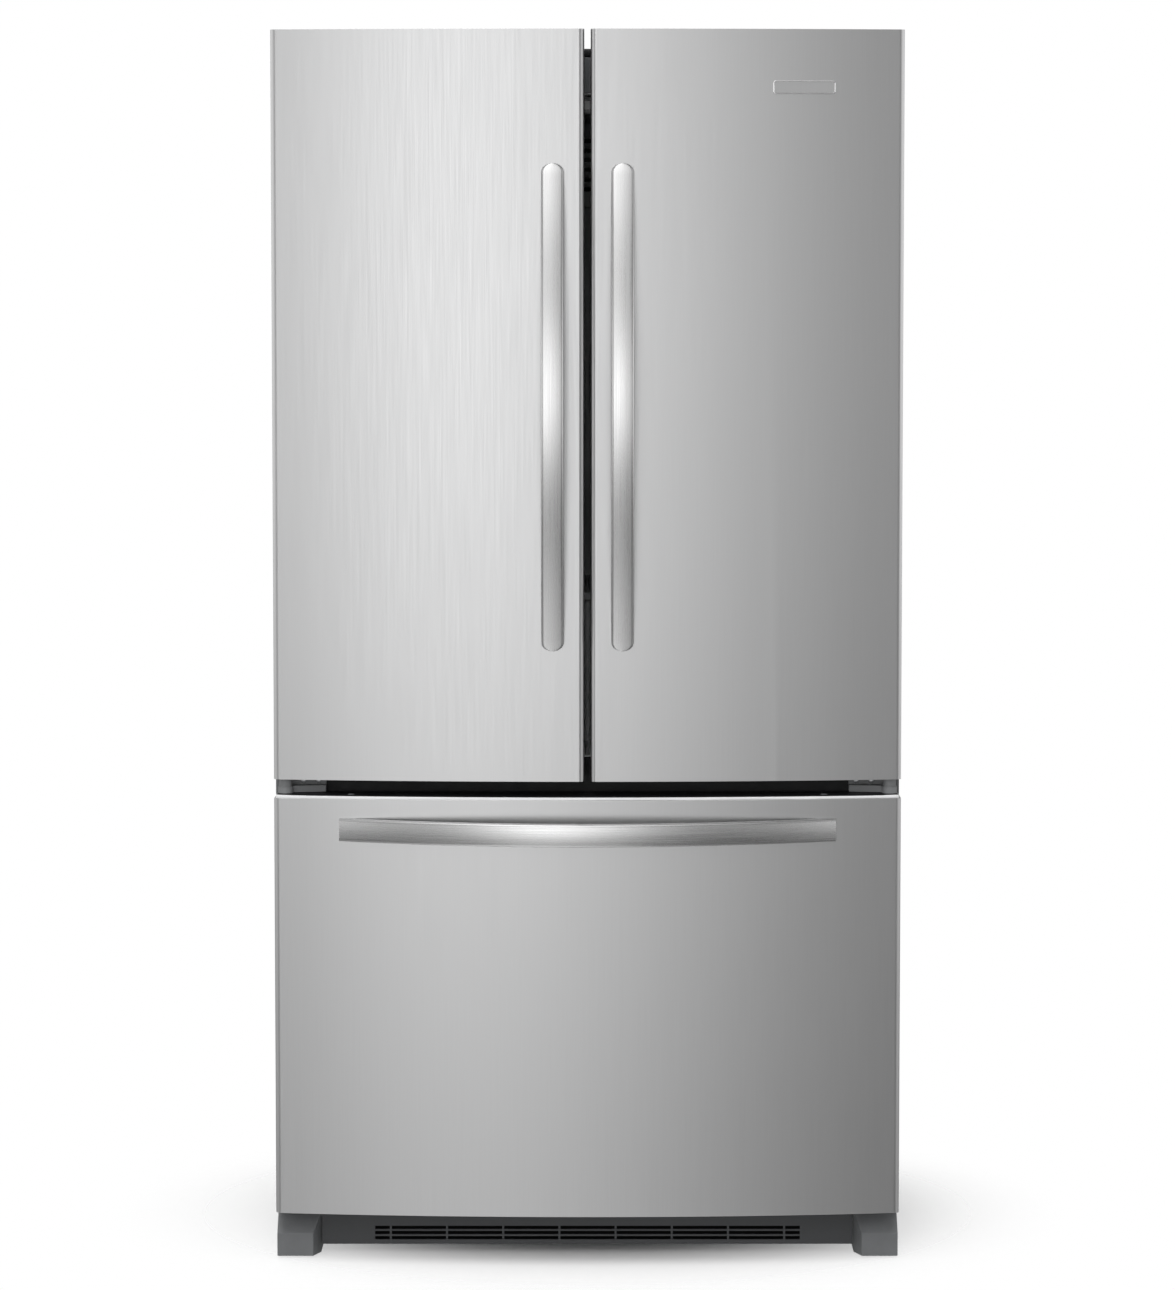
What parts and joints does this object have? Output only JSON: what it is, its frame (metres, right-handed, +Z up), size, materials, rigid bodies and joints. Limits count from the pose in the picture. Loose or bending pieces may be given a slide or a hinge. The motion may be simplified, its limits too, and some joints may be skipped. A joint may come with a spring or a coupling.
{
  "type": "french door refrigerator",
  "caption": "French door refrigerator with a bottom freezer drawer, bowed steel fronts and bar handles.",
  "frame": {"origin": "on the floor, under the middle of the whole object's box", "axes": "+Z up, +X to the right seen from the front, -Y towards the user"},
  "size_m": [0.905, 0.74, 1.781],
  "materials": {
    "brushed_steel": "satin",
    "polished_steel": "satin",
    "cabinet_paint": "satin",
    "dark_paint": "satin",
    "black_plastic": "satin",
    "black_steel": "satin",
    "white_liner": "satin",
    "basket_plastic": "satin",
    "clear_plastic": "gloss",
    "shelf_glass": "gloss",
    "zinc_steel": "satin",
    "gasket_rubber": "matte",
    "roller_rubber": "matte",
    "foam": "matte"
  },
  "bodies": {
    "cabinet": {"cabinet_shell": "cabinet_paint", "left_center_hinge": "dark_paint", "right_center_hinge": "dark_paint", "base_grille": "dark_paint", "left_leg_cover": "dark_paint", "right_leg_cover": "dark_paint", "machine_cover": "dark_paint", "center_rail": "black_plastic", "condenser_fan_motor": "black_plastic", "compressor": "black_steel", "fresh_food_liner": "white_liner", "freezer_liner": "white_liner", "evaporator_cover": "white_liner", "left_lower_shelf": "shelf_glass", "left_upper_shelf": "shelf_glass", "right_lower_shelf": "shelf_glass", "right_upper_shelf": "shelf_glass", "crisper_cover": "shelf_glass", "rear_panel": "zinc_steel", "base_pan": "zinc_steel", "left_leveling_leg": "zinc_steel", "right_leveling_leg": "zinc_steel", "left_top_hinge": "zinc_steel", "right_top_hinge": "zinc_steel", "left_slide_rail": "zinc_steel", "right_slide_rail": "zinc_steel", "insulation_foam": "foam"},
    "left_door": {"left_door_panel": "brushed_steel", "left_door_liner": "white_liner", "left_door_gasket": "gasket_rubber", "left_door_handle": "polished_steel", "left_door_lower_bin": "clear_plastic", "left_door_middle_bin": "clear_plastic", "left_door_upper_bin": "clear_plastic"},
    "right_door": {"right_door_panel": "brushed_steel", "right_door_liner": "white_liner", "right_door_gasket": "gasket_rubber", "right_door_handle": "polished_steel", "badge_plate": "polished_steel", "right_door_lower_bin": "clear_plastic", "right_door_middle_bin": "clear_plastic", "dairy_compartment": "clear_plastic"},
    "freezer_drawer": {"drawer_panel": "brushed_steel", "drawer_liner": "white_liner", "drawer_gasket": "gasket_rubber", "drawer_handle": "polished_steel", "lower_basket": "basket_plastic", "left_slide_inner": "zinc_steel", "right_slide_inner": "zinc_steel"},
    "slide_middles": {"left_slide_middle": "zinc_steel", "right_slide_middle": "zinc_steel"},
    "mullion_flap": {"mullion_flap": "black_plastic"},
    "dairy_lid": {"dairy_lid": "clear_plastic"},
    "upper_basket": {"upper_basket": "basket_plastic"},
    "left_crisper": {"left_crisper": "clear_plastic"},
    "right_crisper": {"right_crisper": "clear_plastic"},
    "evaporator_fan": {"evaporator_fan": "white_liner"},
    "condenser_fan": {"condenser_fan": "black_plastic"},
    "left_rear_roller": {"left_rear_roller": "roller_rubber"},
    "right_rear_roller": {"right_rear_roller": "roller_rubber"}
  },
  "joints": [
    {"name": "door_left_hinge", "type": "hinge", "parent": "cabinet", "child": "left_door", "pos_m": [-0.4365, -0.268, 1.2], "axis": [0, 0, -1], "range_deg": [0, 125]},
    {"name": "door_right_hinge", "type": "hinge", "parent": "cabinet", "child": "right_door", "pos_m": [0.4365, -0.268, 1.2], "axis": [0, 0, 1], "range_deg": [0, 125]},
    {"name": "drawer_freezer_slide", "type": "slide", "parent": "cabinet", "child": "freezer_drawer", "axis": [0, -1, 0], "range_m": [0, 0.37]},
    {"name": "flap_hinge", "type": "hinge", "parent": "left_door", "child": "mullion_flap", "pos_m": [-0.026, -0.2295, 1.2], "axis": [0, 0, 1], "range_deg": [-90, 0]},
    {"name": "lid_dairy_hinge", "type": "hinge", "parent": "right_door", "child": "dairy_lid", "pos_m": [0.2155, -0.145, 1.595], "axis": [1, 0, 0], "range_deg": [0, 90]},
    {"name": "pull_left_crisper", "type": "slide", "parent": "cabinet", "child": "left_crisper", "axis": [0, -1, 0], "range_m": [0, 0.06]},
    {"name": "pull_right_crisper", "type": "slide", "parent": "cabinet", "child": "right_crisper", "axis": [0, -1, 0], "range_m": [0, 0.06]},
    {"name": "slide_middle_members", "type": "slide", "parent": "cabinet", "child": "slide_middles", "axis": [0, -1, 0], "range_m": [0, 0.185]},
    {"name": "upper_basket_slide", "type": "slide", "parent": "cabinet", "child": "upper_basket", "axis": [0, -1, 0], "range_m": [0, 0.185]},
    {"name": "spin_condenser_fan", "type": "hinge", "parent": "cabinet", "child": "condenser_fan", "pos_m": [-0.157, 0.261, 0.16], "axis": [1, 0, 0], "continuous": true},
    {"name": "spin_evaporator_fan", "type": "hinge", "parent": "cabinet", "child": "evaporator_fan", "pos_m": [0, 0.267, 0.56], "axis": [0, 1, 0], "continuous": true},
    {"name": "spin_left_rear_roller", "type": "hinge", "parent": "cabinet", "child": "left_rear_roller", "pos_m": [-0.385, 0.325, 0.025], "axis": [1, 0, 0], "continuous": true},
    {"name": "spin_right_rear_roller", "type": "hinge", "parent": "cabinet", "child": "right_rear_roller", "pos_m": [0.385, 0.325, 0.025], "axis": [1, 0, 0], "continuous": true}
  ],
  "couplings": [
    {"joint": "slide_middle_members", "follows": "drawer_freezer_slide", "ratio": 0.5},
    {"joint": "upper_basket_slide", "follows": "drawer_freezer_slide", "ratio": 0.5}
  ]
}
